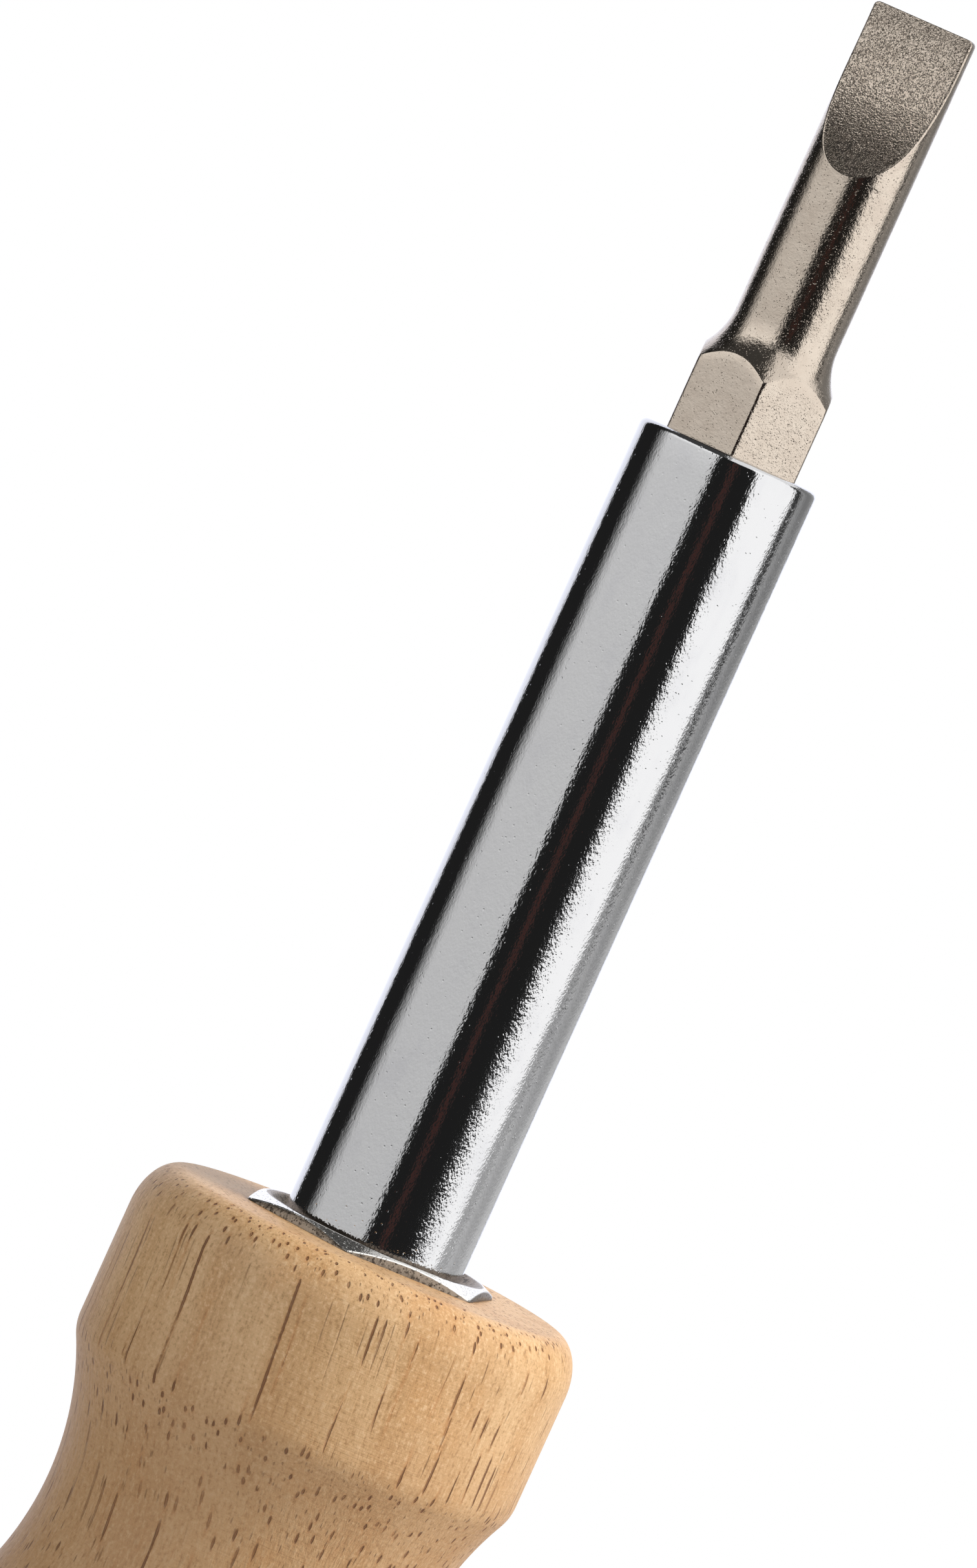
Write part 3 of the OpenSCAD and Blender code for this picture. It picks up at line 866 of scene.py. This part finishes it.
def turned_wood():
    """Pale turned hardwood. The pores are long thin tubes along the grain, which leans a little from
    the tool's axis: where the surface follows them they show as streaks, where it crosses them as
    short dashes, and on the end face as dots. Below the head the colour is darkened, a painted shade
    where the cove turns down, and the turning tool has torn the cove's fibres a little."""
    material, shader, place = new_material("turned_wood")
    wander = place.noise((160.0, 160.0, 60.0), 2.0, 0.5, output=1)
    sideways = (1.4 * MM, 1.4 * MM, 0.0)
    swing = wander.node("ShaderNodeVectorMath", {"operation": "MULTIPLY_ADD"},
                        {0: wander, 1: sideways, 2: place})
    grain = swing.node("ShaderNodeMapping", None, {"Vector": swing, "Rotation": GRAIN_LEAN})
    rich = grain.noise((110.0, 110.0, 14.0), 2.0)
    broken = grain.noise((1500.0, 1500.0, 70.0), 2.0).step(0.38, 0.46)
    frayed = grain.noise((6500.0, 6500.0, 2400.0), 2.0) * 0.09
    tubes = grain.cells((1450.0, 1450.0)) + frayed
    strength = grain.noise((500.0, 500.0, 120.0), 1.0).step(0.30, 0.55) * 0.6 + 0.4
    streaks = tubes.step(0.192, 0.11) * rich.step(0.27, 0.39) * broken * strength
    thin_tubes = grain.cells((2100.0, 2100.0), (0.02, 0.03, 0.0)) + frayed
    faint = thin_tubes.step(0.18, 0.08) * grain.noise((900.0, 900.0, 160.0)).step(0.44, 0.56)
    pores = streaks.math("MAXIMUM", faint * 0.45)
    halo = tubes.step(0.36, 0.12) * rich.step(0.36, 0.5) * broken
    bands = grain.noise((330.0, 330.0, 9.0), 3.0, 0.55)
    blush = place.noise((240.0, 240.0, 110.0), 3.0, 0.6).step(0.5, 0.75)
    fibre = grain.noise((5200.0, 5200.0, 700.0), 3.0, 0.65)
    speckle = place.noise((4200.0, 4200.0, 4200.0), 3.0, 0.7)
    lathe = place.noise((25.0, 25.0, 6500.0), 3.0, 0.75)
    above_waist = place.part(2) * (1.0 / MM) - WAIST_Z
    in_cove = above_waist.step(-7.8, -2.8) * above_waist.step(11.2, 6.2)
    torn = grain.noise((4200.0, 4200.0, 1300.0), 3.0, 0.6) * in_cove
    pale = mix((0.74, 0.470, 0.238), (0.64, 0.375, 0.170), bands.step(0.38, 0.66))
    warm = mix(pale, (0.68, 0.345, 0.125), blush * 0.45)
    tinted = mix(warm, (0.55, 0.225, 0.060), halo * 0.50)
    sheen = (fibre * 0.35 + speckle * 0.65).step(0.5, 0.64)
    gloom = (fibre * 0.4 + speckle * 0.6).step(0.49, 0.36)
    fine = mix(tinted, (0.86, 0.60, 0.34), sheen * 0.7)
    darker = mix(fine, (0.44, 0.235, 0.090), gloom * 0.7)
    lined = mix(darker, (0.50, 0.28, 0.12), lathe.step(0.54, 0.74) * 0.22)
    fuzzy = mix(lined, (0.86, 0.62, 0.36), torn.step(0.54, 0.66) * 0.35)
    # Painted shade: below the head, where the cove turns down, the wood's colour is darkened.
    painted_shade_below_head = mix(fuzzy, (0.40, 0.205, 0.085), above_waist.step(14.2, 5.2) * 0.42)
    colour = mix(painted_shade_below_head, (0.20, 0.074, 0.022), pores * 0.86)
    height = fibre * 0.5 + speckle * 0.3 + lathe * 0.45 - pores * 1.6 + torn * 1.2
    feed(shader, Base_Color=colour, Roughness=fibre * 0.2 + 0.42, Normal=bump(height, 0.07),
         Coat_Weight=0.10, Coat_Roughness=0.4)
    return material


hardwood = turned_wood()
print("turned wood:", len(hardwood.node_tree.nodes), "nodes")

# %% [markdown]
# The sleeve has two finishes in one piece: a bright turned chamfer and dull drawn sides. The border
# between them isn't painted by hand. It is worked out from the same cone that cut the chamfer, so
# it follows the scallops exactly. The turned chamfer's colour is near white, a painted highlight.
# The pieces that only show when the tool comes apart get plain machined steel, wire and a polished
# ball.

# %% Other steels
def sleeve_nickel():
    """Nickel plate on hexagon bar. The chamfer and the end were turned bright; the sides keep the
    dull brown skin of drawn bar. The border is where the chamfer's cone meets the sides. On the
    turned part the colour is near white, a painted highlight."""
    material, shader, place = new_material("sleeve_nickel")
    x, y, z = (place.part(axis) for axis in range(3))
    across = (x ** 2.0 + y ** 2.0) ** 0.5
    over_edge = z - SLEEVE_TOP * MM + (across - SLEEVE_FACE_R * MM) * SLEEVE_CHAMFER
    scuff = place.noise((3600.0, 3600.0, 3600.0), 3.0, 0.6)
    turned = (over_edge + (scuff - 0.5) * (0.10 * MM)).step(-0.09 * MM, -0.03 * MM)
    pits = place.cells((5200.0, 5200.0, 5200.0)).step(0.32, 0.10)
    # Painted highlight: where the chamfer is turned, its colour goes near white.
    painted_highlight_chamfer = turned * over_edge.step(0.10 * MM, 0.03 * MM)
    bright = mix((0.46, 0.45, 0.45), (0.22, 0.20, 0.18), scuff.step(0.50, 0.64) * 0.7)
    grime = (scuff.step(0.50, 0.66) + pits).clamp()
    dull = mix((0.27, 0.215, 0.165), (0.05, 0.038, 0.03), grime * 0.8)
    colour = mix(mix(dull, bright, turned), (0.86, 0.84, 0.80), painted_highlight_chamfer)
    feed(shader, Base_Color=colour, Metallic=1.0, Roughness=scuff * 0.2 + 0.24 - turned * 0.10,
         Normal=bump(scuff - pits * 0.5, 0.03))
    return material


def plain_steel(name, colour, rough):
    """Machined steel with faint turning marks, for the hidden pieces."""
    material, shader, place = new_material(name)
    marks = place.noise((400.0, 400.0, 8000.0), 3.0)
    in_marks = tuple(channel * 0.7 for channel in colour)
    feed(shader, Base_Color=mix(colour, in_marks, marks.step(0.4, 0.7)), Metallic=1.0,
         Roughness=marks * 0.15 + rough, Normal=bump(marks, 0.006))
    return material


# %% [markdown]
# Now the pieces put their finishes on. The hidden CAD nodes keep their own meshes, so a loop over
# their names is enough.

# %% Coating
def coat(piece, material):
    """Gives a piece one material."""
    piece.data.materials.clear()
    piece.data.materials.append(material)
    print(piece.name, "wears", material.name)


coat(barrel, bright_chrome)
coat(handle, hardwood)
coat(sleeve, sleeve_nickel())
coat(front, blasted_nickel)
coat(rear, blasted_nickel)
steel = plain_steel("machined_steel", (0.42, 0.41, 0.40), 0.25)
wire = plain_steel("spring_wire", (0.30, 0.30, 0.31), 0.22)
ball = plain_steel("polished_ball", (0.62, 0.62, 0.63), 0.06)
finishes = {"drive_bush": steel, "stop_plug": steel, "retaining_ring": wire, "front_bit_spring": wire,
            "rear_bit_spring": wire, "front_bit_ball": ball, "rear_bit_ball": ball}
for node_name, finish in finishes.items():
    coat(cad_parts[node_name], finish)

# %% [markdown]
# ## Studio
# The tool stands on a pale round board with a soft edge. A board is kinder to the light than an
# endless floor, because chrome mirrors whatever lies below it, and a small board leaves the panels'
# lower ends in sight.

# %% Floor
FLOOR_R = 200.0
FLOOR_THICK = 3.0
FLOOR_EDGE = 0.3
board_r = np.array([[FLOOR_R - 1.0], [FLOOR_R], [FLOOR_R], [FLOOR_R - 1.0], [30.0]])
board_z = np.array([[-FLOOR_THICK], [FLOOR_EDGE - FLOOR_THICK], [-FLOOR_EDGE], [0.0], [0.0]])
floor = skin("floor", board_r, board_z, once_round(0.0, 96))
floor_material, floor_shader, floor_place = new_material("pale_floor")
cloud = floor_place.noise((8.0, 8.0, 8.0), 2.0)
feed(floor_shader, Base_Color=mix((0.60, 0.60, 0.60), (0.57, 0.57, 0.575), cloud), Roughness=0.8)
coat(floor, floor_material)


# %% [markdown]
# The studio exists only as light. A tall white panel stands on the right, a wide grey one on the
# left, a grey one and a white backdrop behind, and it is dark round the camera. Polished metal shows
# nothing but its surroundings, so the dark stripes on the barrel are the gaps between the panels.
# Each panel is a window in direction space, with an azimuth range and an elevation range. Real
# panels would do as well, but these can't cast a shadow or show up in a view from behind.

# %% Studio light
def studio():
    """The world's light for each direction. Azimuth is 0 towards the camera and positive to its
    right, elevation is above the horizon, both in degrees."""
    world = bpy.data.worlds.new("studio")
    world.use_nodes = True
    bpy.context.scene.world = world
    tree = world.node_tree
    tree.nodes.clear()
    coordinates = Socket(tree, tree.nodes.new("ShaderNodeTexCoord").outputs["Generated"])
    x, y, z = (coordinates.part(axis) for axis in range(3))
    azimuth = x.math("ARCTAN2", y * -1.0) * (180.0 / math.pi)
    elevation = z.math("ARCSINE") * (180.0 / math.pi)

    def panel(left, right, low, high, soft=2.0, left_lean=0.0, right_lean=0.0):
        """1 inside a window of directions and 0 outside. The leans push its two sides inwards."""
        sides = (azimuth + left_lean).step(left - soft, left + soft)
        sides = sides * (1 - (azimuth + right_lean).step(right - soft, right + soft))
        return sides * elevation.step(low - 6, low + 6) * (1 - elevation.step(high - 6, high + 6))

    # Below the horizon the panels' edges lean, so the stripes on the barrel bend near its foot.
    below = elevation.math("MINIMUM", 0.0) * -1.0
    droop = below + below ** 2.0 * 0.6
    behind = azimuth + below * 2.6
    right_box = panel(40.0, 102.0, -16.0, 60.0, 2.0, droop * -1.0, below * 2.6) * 1.6
    left_fade = azimuth.step(-105.0, -80.0) * (elevation * 0.02 + 0.92)
    left_card = panel(-103.0, -13.0, -14.0, 34.0) * left_fade
    # The grey card behind on the right has three tones, and down low it joins the white panel.
    joined = behind.step(112.0, 118.0).math("MAXIMUM", below.step(0.3, 3.0) * 0.8)
    rear_shape = joined * (below * 0.07 + 0.36) - behind.step(121.0, 131.0) * 0.14
    rear_level = rear_shape + behind.step(140.0, 155.0) * 0.14 + 0.04
    rear_grey = panel(103.0, 158.0, -16.0, 34.0, 2.0, below * 2.6) * rear_level
    rear = azimuth.step(158.0, 162.0) + azimuth.step(-138.0, -142.0)
    backdrop = rear * (1 - elevation.step(42.0, 50.0)) * elevation.step(-30.0, -14.0)
    ceiling = x.step(-0.02, 0.03) * elevation.step(33.0, 40.0)
    overhead = ceiling * 1.2 + elevation.step(32.0, 50.0) * 0.05
    stripe = panel(7.5, 13.5, -60.0, 20.0)
    panels = right_box.math("MAXIMUM", overhead) + left_card + rear_grey + backdrop * 1.3
    cool = mix((1.0, 1.0, 1.0), (0.88, 0.90, 1.0), backdrop)
    colour = mix(cool, (1.0, 0.42, 0.36), stripe)
    strength = panels + 0.02 + stripe * 0.06
    # The camera itself sees plain white, as if the tool had been cut out.
    sky = x.node("ShaderNodeBackground", None, {"Strength": strength, "Color": colour})
    white = x.node("ShaderNodeBackground", None, {"Color": (1.0, 1.0, 1.0, 1.0)})
    seen_by_camera = x.node("ShaderNodeLightPath")
    blend = x.node("ShaderNodeMixShader", None, {0: seen_by_camera, 1: sky, 2: white})
    output = tree.nodes.new("ShaderNodeOutputWorld")
    tree.links.new(blend.link, output.inputs["Surface"])
    print("studio:", len(tree.nodes), "nodes")


studio()

# %% [markdown]
# The wood also gets a soft key light from above on the right. It is kept out of mirror reflections,
# because the panels already say what the chrome should see.

# %% Key light
KEY_DISTANCE = 0.9
KEY_AZIMUTH = math.radians(76)
KEY_HEIGHT = math.radians(42)


def direction(azimuth, height):
    """A unit vector towards an azimuth, 0 towards the camera, and an angle above the horizon."""
    flat = math.cos(height)
    return Vector((flat * math.sin(azimuth), -flat * math.cos(azimuth), math.sin(height)))


key = bpy.data.objects.new("key", bpy.data.lights.new("key", "AREA"))
bpy.context.scene.collection.objects.link(key)
key.data.energy = 5.2
key.data.size = 0.35
key.data.color = (1.0, 0.97, 0.93)
key_from = direction(KEY_AZIMUTH, KEY_HEIGHT)
key.location = key_from * KEY_DISTANCE + Vector((0.0, 0.0, 0.5 * MOUTH_Z))
key.rotation_euler = key_from.to_track_quat("Z", "Y").to_euler()
key.visible_glossy = False
key.visible_camera = False
print("key light %.2f m from the tool's middle" % KEY_DISTANCE)

# %% [markdown]
# ## The same box
# The visual pieces have to fill the same box as the CAD model.
